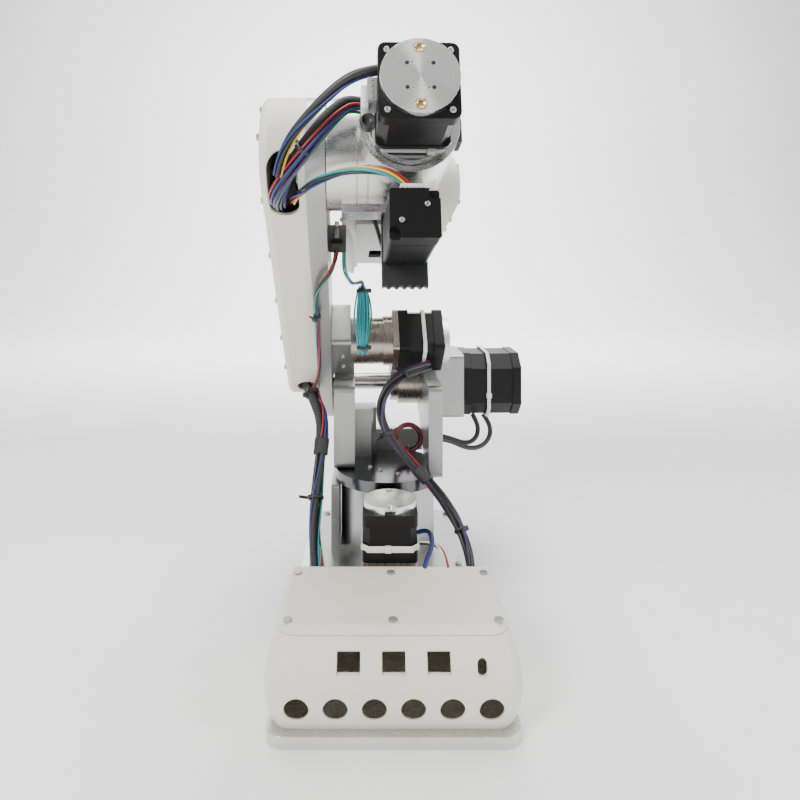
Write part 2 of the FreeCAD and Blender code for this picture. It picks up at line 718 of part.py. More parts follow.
# ---- harnesses: routes chosen by hand, row frame at rest ----------------------
HARNESS_ENTRY_X = (-53.0, 62.0)
RIGHT_HARNESS_R = 4.2
LEFT_LOWER = [(-53, -109, 50), (-54, -99.5, 50.5), (-56, -88, 53), (-58.5, -76.5, 58.5),
              (-60.5, -66, 67.5), (-61.5, -57, 79), (-61.5, -49, 92), (-60.5, -41.5, 105.5),
              (-59, -34, 119), (-58, -26.5, 132)]
LEFT_UPPER = [(-58, -26.5, 132), (-57, -19, 145), (-60.5, -11, 157.5), (-66.5, -2.5, 169),
              (-73, 7, 178.5), (-78, 16.5, 188.5)]
RIGHT_LOWER = [(62, -109, 50), (62.5, -98.5, 51), (63.5, -86, 54.5), (63, -74.5, 61.5),
               (60, -64.5, 71), (54.5, -56.5, 81.5), (47, -50, 92), (38, -45, 102), (28, -42, 112.5)]
RIGHT_UPPER = [(27.8, -41.94, 112.7), (17.5, -38.85, 123.5), (6.5, -37, 136), (-2, -36, 147.5),
               (-7, -34.5, 160), (-6, -32, 173), (0.5, -28.5, 184.5), (11.5, -23.5, 192.5),
               (24, -16.5, 197), (37.2, -8.8, 199.3)]
ELBOW_HARNESS = [(-72.1, -184.9, 335.9), (-72.2, -196.3, 336.4), (-70.7, -208.2, 339.4),
                 (-66.7, -219.6, 345.9), (-59.9, -228.2, 354.8), (-51.2, -233.3, 365.4),
                 (-42.5, -233, 376.5), (-34.5, -229, 386), (-26.5, -222, 393)]
FOREARM_HARNESS = [(-65, -234.3, 359.3), (-58.3, -239, 371), (-48.5, -242.5, 382),
                   (-38.5, -246, 391.5), (-28.5, -248.8, 399), (-19, -250.8, 403.3),
                   (-11.6, -251.6, 404.3)]
J4_LEAD = [(-63.4, -186.7, 336.5), (-62.6, -196, 337.1), (-59.8, -205.5, 339), (-54.4, -214.5, 341.3),
           (-46.5, -220.5, 346.5), (-35, -228.5, 350.5), (-22, -235, 352.5), (-9, -239, 351.5),
           (1.5, -241, 347.8), (8.5, -242.3, 341.2)]
J2_CABLE = [(95, 56, 138.7), (100, 54.5, 132), (102, 50.5, 123), (98, 45, 115.5), (90, 39, 111.5),
            (80.5, 33.5, 111.5), (71.5, 29, 115), (63.5, 25.5, 119.5), (56, 22, 123),
            (49.8, 18.8, 125)]
J2_ENCODER_CABLE = [(84.5, 56, 138.7), (88.3, 55.5, 132), (90, 52.3, 124.3), (87.2, 47.6, 117.8),
                    (80.7, 42.4, 114.8), (73, 37.6, 115.8), (65.5, 33.2, 119.5), (57, 28.9, 123.3),
                    (49.8, 24.9, 126.3)]


HANK_X = -24.0
HANK_Y = -64.0
HANK_SECTIONS = [(218, 3.5, 2.5), (228, 8.5, 4.5), (247, 9.5, 5.0), (264, 8.0, 4.5), (276, 3.5, 2.5)]


def wire_hank():
    """Hank of spare switch wires: flat bundle, narrow at its two ties."""
    sections = []
    for height, wide, deep in HANK_SECTIONS:
        ring = Part.Ellipse(Vector(0, 0, 0), wide, deep).toShape()
        wire = Part.Wire(ring)
        wire.translate(Vector(HANK_X, HANK_Y, height))
        sections.append(wire)
    return Part.makeLoft(sections, True, False)


def wire_coil():
    return Part.makeTorus(11.5, 4.0, Vector(19.5, 12, 128), Vector(0.15, 1, 0.1))


def build():
    keep("base_plate", base_plate())
    keep("base_frame", base_frame())
    keep("base_top_plate", base_top_plate())
    body, lid, screws = enclosure_parts()
    keep("rear_enclosure", body)
    keep("enclosure_lid", lid)
    keep("lid_screws", screws)
    keep("j1_motor", j1_motor())
    keep("j1_motor_disc", j1_motor_disc())
    keep("j1_gearbox", j1_gearbox())
    keep("j1_housing", j1_housing())
    keep("j1_bearings", j1_bearings())
    keep("j1_belt", j1_belt())
    keep("j1_drive_pulley", j1_drive_pulley())

    keep("turret_disc", turret_disc(), ON_TURRET)
    keep("turret_spindle", turret_spindle(), ON_TURRET)
    keep("turret_bracket", turret_bracket(), ON_TURRET)
    keep("j2_gearbox", j2_gearbox(), ON_TURRET)
    keep("j2_flange_block", j2_flange_block(), ON_TURRET)
    keep("j2_motor", j2_motor(), ON_TURRET)
    keep("j2_motor_disc", j2_motor_disc(), ON_TURRET)
    keep("wire_coil", wire_coil(), ON_TURRET)

    keep("arm_plate", arm_plate(), ON_ARM)
    keep("j2_shaft", j2_shaft(), ON_ARM)
    keep("arm_cover", arm_cover(), ON_ARM)
    keep("cover_screws", cover_screws(), ON_ARM)
    keep("j3_mount_block", j3_mount_block(), ON_ARM)
    keep("j3_gearbox", j3_gearbox(), ON_ARM)
    keep("j3_motor", j3_motor(), ON_ARM)
    keep("j3_motor_disc", j3_motor_disc(), ON_ARM)
    keep("j3_belt", j3_belt(), ON_ARM)
    keep("arm_limit_switch", arm_limit_switch(), ON_ARM)
    keep("j3_drive_pulley", j3_pulley_at(J3_MOTOR_ALONG, 4, -15), ON_ARM)
    keep("wire_hank", wire_hank(), ON_TURRET)

    keep("j3_driven_pulley", j3_pulley_at(ARM_LENGTH, 12, PLATE_IN + 0.5), ON_ARM)
    keep("elbow_housing", elbow_housing(), ON_ELBOW)
    keep("j4_motor", j4_motor(), ON_ELBOW)
    keep("j4_motor_mount", j4_motor_mount(), ON_ELBOW)
    keep("j4_belt", j4_belt(), ON_ELBOW)
    keep("elbow_limit_switch", elbow_limit_switch(), ON_ELBOW)
    keep("j4_drive_pulley", j4_drive_pulley(), ON_ELBOW)

    keep("forearm_spindle", forearm_spindle(), ON_ELBOW)
    keep("j5_motor", j5_motor(), ON_ELBOW)
    keep("j5_motor_disc", j5_motor_disc(), ON_ELBOW)
    keep("forearm_frame", forearm_frame(), ON_ELBOW)
    keep("forearm_left_cover", side_cover(11.0, -1), ON_ELBOW)
    keep("forearm_right_cover", side_cover(17.0, 1), ON_ELBOW)
    keep("lead_screw", lead_screw(), ON_ELBOW)
    keep("j5_carriage", j5_carriage(), ON_ELBOW)
    keep("wrist_body", wrist_body(), ON_ELBOW)
    keep("j6_motor", j6_motor(), ON_ELBOW)
    keep("tool_flange", tool_flange(), ON_ELBOW)

    cords = {
        "left_harness_lower": (LEFT_LOWER, HARNESS_R),
        "left_harness_upper": (LEFT_UPPER, HARNESS_R),
        "right_harness_lower": (RIGHT_LOWER, RIGHT_HARNESS_R),
        "right_harness_upper": (RIGHT_UPPER, RIGHT_HARNESS_R),
        "elbow_harness": (ELBOW_HARNESS, 4.5),
        "forearm_harness": (FOREARM_HARNESS, 3.5),
        "j4_motor_lead": (J4_LEAD, 2.6),
        "j2_motor_cable": (J2_CABLE, CABLE_R),
        "j2_encoder_cable": (J2_ENCODER_CABLE, CABLE_R),
    }
    for name, (points, radius) in cords.items():
        keep(name, cord_tube(name, points, radius))


build()
os.makedirs("parts", exist_ok=True)
for name, shape in PARTS.items():
    if not shape.isValid() or shape.Volume < 1:
        print("CHECK", name, shape.isValid(), shape.Volume)
    shape.exportStep(f"parts/{name}.step")
print(len(PARTS), "nodes")
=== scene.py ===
"""Desktop robot arm: looks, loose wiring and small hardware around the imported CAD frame.

Lengths in the tables below are millimetres; every mesh is made in metres.
"""

import json
import math

import bmesh
import bpy
from mathutils import Matrix, Vector
from mathutils.bvhtree import BVHTree


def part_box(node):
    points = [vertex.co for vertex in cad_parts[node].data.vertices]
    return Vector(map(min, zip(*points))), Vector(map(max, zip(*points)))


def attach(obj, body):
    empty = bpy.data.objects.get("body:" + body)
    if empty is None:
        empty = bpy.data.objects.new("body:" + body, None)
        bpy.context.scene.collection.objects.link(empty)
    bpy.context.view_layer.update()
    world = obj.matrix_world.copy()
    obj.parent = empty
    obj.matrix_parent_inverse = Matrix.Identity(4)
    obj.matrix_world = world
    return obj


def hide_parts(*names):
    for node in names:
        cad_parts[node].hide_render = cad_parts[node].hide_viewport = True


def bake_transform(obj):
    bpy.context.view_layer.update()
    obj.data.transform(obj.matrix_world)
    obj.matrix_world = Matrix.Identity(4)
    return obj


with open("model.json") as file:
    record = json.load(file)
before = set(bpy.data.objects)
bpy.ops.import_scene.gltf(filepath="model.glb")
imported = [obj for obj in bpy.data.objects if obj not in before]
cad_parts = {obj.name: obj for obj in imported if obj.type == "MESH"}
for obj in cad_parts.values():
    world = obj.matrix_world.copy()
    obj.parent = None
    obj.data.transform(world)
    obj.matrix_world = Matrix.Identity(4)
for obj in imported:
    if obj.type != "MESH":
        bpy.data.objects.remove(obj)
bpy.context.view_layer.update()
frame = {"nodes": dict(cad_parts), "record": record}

MM = 0.001
TURRET_TURN = math.radians(2.3)
ARM_LEAN = math.radians(49.5)
ELBOW_LEAN = math.radians(-14.0)
SHOULDER = (0.0, 64.2, 169.8)
ELBOW = (0.0, -167.7238, 367.8817)


def joint_frame(place, lean):
    """Matrix from a body's own frame, in metres, to the row frame."""
    shift = Matrix.Translation(Vector(place) * MM)
    return Matrix.Rotation(TURRET_TURN, 4, "Z") @ shift @ Matrix.Rotation(lean, 4, "X")


BASE_FRAME = Matrix.Identity(4)
TURRET_FRAME = joint_frame((0, 0, 0), 0)
ARM_FRAME = joint_frame(SHOULDER, ARM_LEAN)
ELBOW_FRAME = joint_frame(ELBOW, ELBOW_LEAN)


# ---------------------------------------------------------------- camera

def make_camera():
    """Level camera behind the arm, with the frame shifted down onto it."""
    data = bpy.data.cameras.new("camera")
    data.lens = 31.05
    data.sensor_width = 36.0
    data.shift_x = 0.032
    data.shift_y = -0.206
    camera = bpy.data.objects.new("camera", data)
    camera.location = (-0.012, -0.625, 0.315)
    camera.rotation_euler = (math.radians(90), 0, 0)
    bpy.context.scene.collection.objects.link(camera)
    bpy.context.scene.camera = camera


make_camera()


# ---------------------------------------------------------------- materials

def new_material(name):
    material = bpy.data.materials.new(name)
    material.use_nodes = True
    tree = material.node_tree
    return material, tree.nodes, tree.links, tree.nodes["Principled BSDF"]


def object_noise(nodes, links, scale, stretch=(1, 1, 1), detail=5.0):
    """Noise fixed to the object, stretched along one direction for brushed metal."""
    place = nodes.new("ShaderNodeTexCoord")
    mapping = nodes.new("ShaderNodeMapping")
    mapping.inputs["Scale"].default_value = stretch
    noise = nodes.new("ShaderNodeTexNoise")
    noise.inputs["Scale"].default_value = scale
    noise.inputs["Detail"].default_value = detail
    links.new(place.outputs["Object"], mapping.inputs["Vector"])
    links.new(mapping.outputs["Vector"], noise.inputs["Vector"])
    return noise


NOISE_LOW = 0.3
NOISE_HIGH = 0.7


def colour_range(nodes, links, source, colour, spread):
    """Colour that drifts a little darker and lighter with a texture."""
    ramp = nodes.new("ShaderNodeValToRGB")
    dark = [channel * (1 - spread) for channel in colour]
    light = [min(1.0, channel * (1 + spread)) for channel in colour]
    ramp.color_ramp.elements[0].position = NOISE_LOW
    ramp.color_ramp.elements[0].color = (*dark, 1)
    ramp.color_ramp.elements[1].position = NOISE_HIGH
    ramp.color_ramp.elements[1].color = (*light, 1)
    links.new(source, ramp.inputs["Fac"])
    return ramp.outputs["Color"]


def number_range(nodes, links, source, low, high):
    """Number that moves between two values with a texture."""
    span = nodes.new("ShaderNodeMapRange")
    span.inputs["From Min"].default_value = NOISE_LOW
    span.inputs["From Max"].default_value = NOISE_HIGH
    span.inputs["To Min"].default_value = low
    span.inputs["To Max"].default_value = high
    links.new(source, span.inputs["Value"])
    return span.outputs["Result"]


def rounded_bump(nodes, links, shader, height, strength, depth, edge):
    """Bump over softly rounded edges; depth and edge are millimetres."""
    bump = nodes.new("ShaderNodeBump")
    bump.inputs["Strength"].default_value = strength
    bump.inputs["Distance"].default_value = depth * MM
    links.new(height, bump.inputs["Height"])
    if edge:
        bevel = nodes.new("ShaderNodeBevel")
        bevel.inputs["Radius"].default_value = edge * MM
        links.new(bevel.outputs["Normal"], bump.inputs["Normal"])
    links.new(bump.outputs["Normal"], shader.inputs["Normal"])


def surface(name, colour, roughness, metallic=0.0, grain=900.0, stretch=(1, 1, 1),
            spread=0.06, bump=0.25, depth=0.05, edge=0.4):
    """General solid finish: grain, slow mottling, uneven gloss and rounded edges."""
    material, nodes, links, shader = new_material(name)
    fine = object_noise(nodes, links, grain, stretch)
    slow = object_noise(nodes, links, 28.0, detail=3.0)
    shader.inputs["Metallic"].default_value = metallic
    links.new(colour_range(nodes, links, slow.outputs["Fac"], colour, spread),
              shader.inputs["Base Color"])
    links.new(number_range(nodes, links, fine.outputs["Fac"], roughness - 0.07, roughness + 0.07),
              shader.inputs["Roughness"])
    rounded_bump(nodes, links, shader, fine.outputs["Fac"], bump, depth, edge)
    return material


def braid(name, colour):
    """Braided cable sleeve: two crossing families of fine ribs."""
    material, nodes, links, shader = new_material(name)
    place = nodes.new("ShaderNodeTexCoord")
    weave = nodes.new("ShaderNodeMath")
    weave.operation = "MULTIPLY"
    for index, turn in enumerate((0.8, -0.8)):
        mapping = nodes.new("ShaderNodeMapping")
        mapping.inputs["Rotation"].default_value = (turn, turn / 2, 0)
        ribs = nodes.new("ShaderNodeTexWave")
        ribs.inputs["Scale"].default_value = 260.0
        ribs.inputs["Distortion"].default_value = 0.6
        links.new(place.outputs["Object"], mapping.inputs["Vector"])
        links.new(mapping.outputs["Vector"], ribs.inputs["Vector"])
        links.new(ribs.outputs["Fac"], weave.inputs[index])
    shader.inputs["Roughness"].default_value = 0.62
    links.new(colour_range(nodes, links, weave.outputs["Value"], colour, 0.35),
              shader.inputs["Base Color"])
    rounded_bump(nodes, links, shader, weave.outputs["Value"], 0.6, 0.25, 0)
    return material


def laminated(name, colour, direction):
    """Satin black motor body with the fine edges of its stacked plates."""
    material, nodes, links, shader = new_material(name)
    place = nodes.new("ShaderNodeTexCoord")
    plates = nodes.new("ShaderNodeTexWave")
    plates.bands_direction = direction
    plates.inputs["Scale"].default_value = 210.0
    grit = object_noise(nodes, links, 1400.0)
    links.new(place.outputs["Object"], plates.inputs["Vector"])
    both = nodes.new("ShaderNodeMath")
    both.operation = "ADD"
    links.new(plates.outputs["Fac"], both.inputs[0])
    links.new(grit.outputs["Fac"], both.inputs[1])
    shader.inputs["Specular IOR Level"].default_value = 0.22
    links.new(colour_range(nodes, links, grit.outputs["Fac"], colour, 0.25),
              shader.inputs["Base Color"])
    links.new(number_range(nodes, links, grit.outputs["Fac"], 0.34, 0.46),
              shader.inputs["Roughness"])
    rounded_bump(nodes, links, shader, both.outputs["Value"], 0.22, 0.08, 0.6)
    return material


def spun_disc(name, node, axis):
    """Face-turned aluminium: the brushing runs in circles about the disc's axis."""
    material, nodes, links, shader = new_material(name)
    low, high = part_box(node)
    place = nodes.new("ShaderNodeTexCoord")
    from_centre = nodes.new("ShaderNodeVectorMath")
    from_centre.operation = "SUBTRACT"
    from_centre.inputs[1].default_value = (low + high) / 2
    around = nodes.new("ShaderNodeVectorMath")
    around.operation = "CROSS_PRODUCT"
    around.inputs[1].default_value = axis
    to_world = nodes.new("ShaderNodeVectorTransform")
    to_world.vector_type = "VECTOR"
    to_world.convert_from = "OBJECT"
    to_world.convert_to = "WORLD"
    reach = nodes.new("ShaderNodeVectorMath")
    reach.operation = "LENGTH"
    rings = nodes.new("ShaderNodeTexNoise")
    rings.noise_dimensions = "1D"
    rings.inputs["Scale"].default_value = 2600.0
    links.new(place.outputs["Object"], from_centre.inputs[0])
    links.new(from_centre.outputs["Vector"], around.inputs[0])
    links.new(around.outputs["Vector"], to_world.inputs["Vector"])
    links.new(to_world.outputs["Vector"], shader.inputs["Tangent"])
    links.new(from_centre.outputs["Vector"], reach.inputs[0])
    links.new(reach.outputs["Value"], rings.inputs["W"])
    shader.inputs["Metallic"].default_value = 1.0
    shader.inputs["Anisotropic"].default_value = 0.85
    links.new(colour_range(nodes, links, rings.outputs["Fac"], (0.80, 0.80, 0.79), 0.08),
              shader.inputs["Base Color"])
    links.new(number_range(nodes, links, rings.outputs["Fac"], 0.24, 0.34),
              shader.inputs["Roughness"])
    rounded_bump(nodes, links, shader, rings.outputs["Fac"], 0.2, 0.04, 0.4)
    return material


def wire(name, colour):
    """Glossy single-wire insulation."""
    return surface("wire_" + name, colour, 0.38, grain=500.0, spread=0.12, bump=0.1, edge=0)


MOTOR_BLACK = (0.005, 0.005, 0.0055)
MATERIALS = {
    "machined_aluminium": surface("machined_aluminium", (0.66, 0.66, 0.65), 0.27, 1.0,
                                  grain=260.0, stretch=(1, 14, 14), spread=0.03, bump=0.05,
                                  depth=0.02, edge=0.6),
    "grey_aluminium": surface("grey_aluminium", (0.43, 0.435, 0.43), 0.40, 1.0,
                              grain=1600.0, spread=0.05, bump=0.35, edge=0.6),
    "dark_aluminium": surface("dark_aluminium", (0.13, 0.13, 0.135), 0.22, 1.0,
                              grain=200.0, stretch=(1, 12, 12), bump=0.1, edge=0.5),
    "white_plastic": surface("white_plastic", (0.77, 0.735, 0.62), 0.5,
                             grain=1300.0, spread=0.025, bump=0.3, depth=0.06, edge=1.2),
    "steel_screw": surface("steel_screw", (0.42, 0.40, 0.38), 0.33, 1.0, grain=2000.0,
                           spread=0.15, edge=0.3),
    "motor_black": laminated("motor_black", MOTOR_BLACK, "Z"),
    "gearbox_steel": surface("gearbox_steel", (0.40, 0.35, 0.30), 0.28, 1.0, grain=110.0,
                             stretch=(24, 1, 1), spread=0.05, bump=0.06, depth=0.02, edge=0.6),
    "bearing_steel": surface("bearing_steel", (0.58, 0.58, 0.58), 0.2, 1.0, grain=300.0,
                             stretch=(1, 1, 20), edge=0.4),
    "belt_rubber": surface("belt_rubber", (0.018, 0.018, 0.018), 0.7, grain=700.0, bump=0.5),
    "cable_sleeve": braid("cable_sleeve", (0.03, 0.03, 0.032)),
    "wire_insulation": wire("teal", (0.012, 0.27, 0.30)),
    "switch_plastic": surface("switch_plastic", (0.012, 0.012, 0.013), 0.45, grain=1100.0,
                              bump=0.3, edge=0.3),
}
BLACK_WIRE = wire("black", (0.016, 0.016, 0.018))
PURPLE_BROWN = wire("purple_brown", (0.06, 0.025, 0.035))
RED_WIRE = wire("red", (0.30, 0.014, 0.013))
DARK_RED_WIRE = wire("dark_red", (0.13, 0.012, 0.014))
GREEN_WIRE = wire("green", (0.02, 0.20, 0.07))
BLUE_WIRE = wire("blue", (0.008, 0.03, 0.17))
PURPLE_WIRE = wire("purple", (0.07, 0.015, 0.14))
YELLOW_WIRE = wire("yellow", (0.68, 0.45, 0.03))
WHITE_WIRE = wire("white", (0.75, 0.75, 0.72))
TEAL_WIRE = MATERIALS["wire_insulation"]
SLEEVE = MATERIALS["cable_sleeve"]
STEEL = MATERIALS["steel_screw"]
BLACK_PLASTIC = MATERIALS["switch_plastic"]
BRASS = surface("brass_screw", (0.55, 0.40, 0.20), 0.3, 1.0, grain=1800.0, spread=0.12, edge=0.2)
TIE_WHITE = surface("tie_white", (0.78, 0.78, 0.75), 0.4, grain=800.0, spread=0.03, edge=0.2)
TIE_BLACK = surface("tie_black", (0.02, 0.02, 0.02), 0.45, grain=800.0, edge=0.2)
TIE_GREY = surface("tie_grey", (0.36, 0.36, 0.35), 0.45, grain=800.0, edge=0.2)
CONNECTOR_WHITE = surface("connector_white", (0.80, 0.80, 0.76), 0.36, grain=700.0,
                          spread=0.03, edge=0.3)
CONNECTOR_GREY = surface("connector_grey", (0.30, 0.30, 0.29), 0.45, grain=900.0, edge=0.3)


def dress_cad_nodes():
    """Each CAD node takes the finish of its slot in the record."""
    disc_axes = {
        "j1_motor_disc": Vector((0, 0, 1)),
        "j2_motor_disc": TURRET_FRAME.to_3x3() @ Vector((1, 0, 0)),
        "j3_motor_disc": TURRET_FRAME.to_3x3() @ Vector((1, 0, 0)),
        "j5_motor_disc": ELBOW_FRAME.to_3x3() @ Vector((0, -1, 0)),
    }
    motor_stacks = {"j2_motor": "X", "j3_motor": "X", "j4_motor": "Y", "j5_motor": "Y", "j6_motor": "Y"}
    for sub_part in frame["record"]["subparts"]:
        name = sub_part["node"]
        node = frame["nodes"][name]
        slot_name = sub_part["material_slot"]
        if name in disc_axes:
            finish = spun_disc("spun_" + name, name, disc_axes[name])
        elif name in motor_stacks:
            finish = laminated("black_" + name, MOTOR_BLACK, motor_stacks[name])
        else:
            finish = MATERIALS[slot_name]
        node.data.materials.clear()
        node.data.materials.append(finish)


dress_cad_nodes()


# ---------------------------------------------------------------- mesh tools

def add_face(bm, corners, material=0):
    corners = list(dict.fromkeys(corners))
    if len(corners) < 3:
        return
    face = bm.faces.new(corners)
    face.material_index = material
    face.smooth = True


def join_rings(bm, lower, upper, material=0):
    count = max(len(lower), len(upper))
    for i in range(count):
        j = (i + 1) % count
        add_face(bm, (lower[i % len(lower)], lower[j % len(lower)],
                      upper[j % len(upper)], upper[i % len(upper)]), material)


def turned(bm, profile, place, axis, sides=28, hex_from=None):
    """Lathe a (radius, height) profile about an axis; rings from hex_from on are hexagonal."""
    axis = Vector(axis).normalized()
    side = axis.orthogonal().normalized()
    other = axis.cross(side)
    rings = []
    for index, (radius, height) in enumerate(profile):
        centre = Vector(place) + axis * height
        ring = []
        for step in range(sides if radius else 1):
            angle = 2 * math.pi * step / sides
            reach = radius
            if hex_from is not None and index >= hex_from:
                reach *= math.cos(math.pi / 6) / math.cos(angle % (math.pi / 3) - math.pi / 6)
            point = centre + (side * math.cos(angle) + other * math.sin(angle)) * reach
            ring.append(bm.verts.new(point * MM))
        rings.append(ring)
    for lower, upper in zip(rings, rings[1:]):
        join_rings(bm, lower, upper)


def block(bm, low, high, round_by=0.5):
    """Box with rounded edges between two corners."""
    centre = (Vector(low) + Vector(high)) / 2
    size = Vector(high) - Vector(low)
    place = Matrix.Translation(centre * MM) @ Matrix.Diagonal((*(size * MM), 1))
    made = bmesh.ops.create_cube(bm, size=1, matrix=place)
    edges = list({edge for vertex in made["verts"] for edge in vertex.link_edges})
    rounded = bmesh.ops.bevel(bm, geom=edges, offset=round_by * MM, segments=3, profile=0.5,
                              affect="EDGES")
    touched = {face for vertex in rounded["verts"] for face in vertex.link_faces}
    for face in touched:
        face.smooth = True


def frames_along(line):
    """Points of a line with a side and an upward direction carried along without twist."""
    result = []
    side = None
    for index, point in enumerate(line):
        before = line[max(index - 1, 0)]
        after = line[min(index + 1, len(line) - 1)]
        along = (after - before).normalized()
        if side is None:
            side = Vector((1, 0, 0)) - along * along.x
        side = (side - along * side.dot(along)).normalized()
        result.append((point, side, along.cross(side)))
    return result


def strand(bm, frames, radius, distance=0.0, phase=0.0, turns=0.0, wander=0.0, material=0, sides=10):
    """One wire of a bundle: it spirals round the line at a distance, with a slow wander."""
    rings = []
    last = len(frames) - 1
    for index, (point, side, up) in enumerate(frames):
        along = index / last
        angle = math.radians(phase) + 2 * math.pi * turns * along
        swell = wander * math.sin(math.pi * along) * math.sin(7 * along + phase)
        reach = distance + swell
        centre = point + (side * math.cos(angle) + up * math.sin(angle)) * reach * MM
        ring = []
        for step in range(sides):
            turn = 2 * math.pi * step / sides
            ring.append(bm.verts.new(centre + (side * math.cos(turn) + up * math.sin(turn)) * radius * MM))
        rings.append(ring)
    for lower, upper in zip(rings, rings[1:]):
        join_rings(bm, lower, upper, material)
    for end in (rings[0], rings[-1]):
        add_face(bm, end, material)


def make_object(bm, name, matrix, materials):
    bmesh.ops.recalc_face_normals(bm, faces=bm.faces)
    mesh = bpy.data.meshes.new(name)
    bm.to_mesh(mesh)
    bm.free()
    for material in materials:
        mesh.materials.append(material)
    piece = bpy.data.objects.new(name, mesh)
    piece.matrix_world = matrix
    bpy.context.scene.collection.objects.link(piece)
    return piece


def riding(bm, name, matrix, materials, body):
    """Make a piece that moves with one body."""
    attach(make_object(bm, name, matrix, materials), body)


# ---------------------------------------------------------------- cords

# Each route runs from the cord's exit to its far end, in the row frame with the arm at rest.
LEFT_LOWER = [(-53, -109, 50), (-54, -99.5, 50.5), (-56, -88, 53), (-58.5, -76.5, 58.5),
              (-60.5, -66, 67.5), (-61.5, -57, 79), (-61.5, -49, 92), (-60.5, -41.5, 105.5),
              (-59, -34, 119), (-58, -26.5, 132)]
LEFT_UPPER = [(-58, -26.5, 132), (-57, -19, 145), (-60.5, -11, 157.5), (-66.5, -2.5, 169),
              (-73, 7, 178.5), (-78, 16.5, 188.5)]
RIGHT_LOWER = [(62, -109, 50), (62.5, -98.5, 51), (63.5, -86, 54.5), (63, -74.5, 61.5),
               (60, -64.5, 71), (54.5, -56.5, 81.5), (47, -50, 92), (38, -45, 102),
               (28, -42, 112.5)]
RIGHT_UPPER = [(27.8, -41.94, 112.7), (17.5, -38.85, 123.5), (6.5, -37, 136), (-2, -36, 147.5),
               (-7, -34.5, 160), (-6, -32, 173), (0.5, -28.5, 184.5), (11.5, -23.5, 192.5),
               (24, -16.5, 197), (37.2, -8.8, 199.3)]
ELBOW_HARNESS = [(-72.1, -184.9, 335.9), (-72.2, -196.3, 336.4), (-70.7, -208.2, 339.4),
                 (-66.7, -219.6, 345.9), (-59.9, -228.2, 354.8), (-51.2, -233.3, 365.4),
                 (-42.5, -233, 376.5), (-34.5, -229, 386), (-26.5, -222, 393),
                 (-17, -213, 392)]
FOREARM_HARNESS = [(-67.4, -225.5, 350), (-65, -234.3, 359.3), (-58.3, -239, 371), (-48.5, -242.5, 382),
                   (-38.5, -246, 391.5), (-28.5, -248.8, 399), (-19, -250.8, 403.3),
                   (-8.5, -251.8, 404.6)]
J4_LEAD = [(-63.4, -186.7, 336.5), (-62.6, -196, 337.1), (-59.8, -205.5, 339),
           (-54.4, -214.5, 341.3), (-46.5, -220.5, 346.5), (-35, -228.5, 350.5),
           (-22, -235, 352.5), (-9, -239, 351.5), (1.5, -241, 347.8), (8.5, -242.3, 341.2)]
J2_CABLE = [(95, 56, 138.7), (100, 54.5, 132), (102, 50.5, 123), (98, 45, 115.5),
            (90, 39, 111.5), (80.5, 33.5, 111.5), (71.5, 29, 115), (63.5, 25.5, 119.5),
            (56, 22, 123), (49.8, 18.8, 125)]
J2_ENCODER_CABLE = [(84.5, 56, 138.7), (88.3, 55.5, 132), (90, 52.3, 124.3), (87.2, 47.6, 117.8),
                    (80.7, 42.4, 114.8), (73, 37.6, 115.8), (65.5, 33.2, 119.5),
                    (57, 28.9, 123.3), (49.8, 24.9, 126.3)]


def spline_curve(name, route):
    """Open NURBS curve with the route's points, given in millimetres, as control points."""
    curve = bpy.data.curves.new(name, "CURVE")
    curve.dimensions = "3D"
    spline = curve.splines.new("NURBS")
    spline.points.add(len(route) - 1)
    for point, place in zip(spline.points, route):
        point.co = (*(Vector(place) * MM), 1)
    spline.order_u = 3
    spline.use_endpoint_u = True
    return curve


def spline_line(name, route):
    """Points along the route's curve, in metres."""
    holder = bpy.data.objects.new(name, spline_curve(name, route))
    mesh = bpy.data.meshes.new_from_object(holder)
    line = [vertex.co.copy() for vertex in mesh.vertices]
    bpy.data.meshes.remove(mesh)
    bpy.data.curves.remove(holder.data)
    return line


def line_length(line):
    return sum((after - before).length for before, after in zip(line, line[1:]))


def bundle(name, route, strands, node=None):
    """Cord made of several wires; strands hold radius, distance, phase, turns, wander, finish."""
    line = spline_line(name + "_line", route)
    frames = frames_along(line)
    finishes = list(dict.fromkeys(row[-1] for row in strands))
    bm = bmesh.new()
    for radius, distance, phase, turns, wander, finish in strands:
        strand(bm, frames, radius, distance, phase, turns, wander, finishes.index(finish))
    piece = make_object(bm, name, Matrix.Identity(4), finishes)
    if node:
        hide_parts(node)
    return piece, line


def tie(name, line, share, radius, finish, tail=12.0, turn=0.0):
    """Cable tie round a bundle: strap, locking head and cut tail."""
    index = int(share * (len(line) - 1))
    index = min(max(index, 1), len(line) - 2)
    place, side, up = frames_along(line)[index]
    along = side.cross(up)
    place = place / MM
    out = side * math.cos(turn) + up * math.sin(turn)
    cross = along.cross(out)
    half = 1.25
    bm = bmesh.new()
    turned(bm, [(radius, -half), (radius + 1.0, -half), (radius + 1.1, 0), (radius + 1.0, half),
                (radius, half)], place, along)
    head = bmesh.new()
    block(head, (-2.0, -1.9, -1.9), (2.0, 1.9, 1.9), 0.5)
    if tail:
        block(head, (0.5, -1.15, -0.45), (tail, 1.15, 0.45), 0.2)
    turn_to = Matrix((cross, along, out)).transposed().to_4x4()
    shift = Matrix.Translation((place + out * (radius + 1.4)) * MM)
    head.transform(shift @ turn_to)
    mesh = bpy.data.meshes.new(name + "_head")
    head.to_mesh(mesh)
    head.free()
    bm.from_mesh(mesh)
    bpy.data.meshes.remove(mesh)
    return make_object(bm, name, Matrix.Identity(4), [finish])


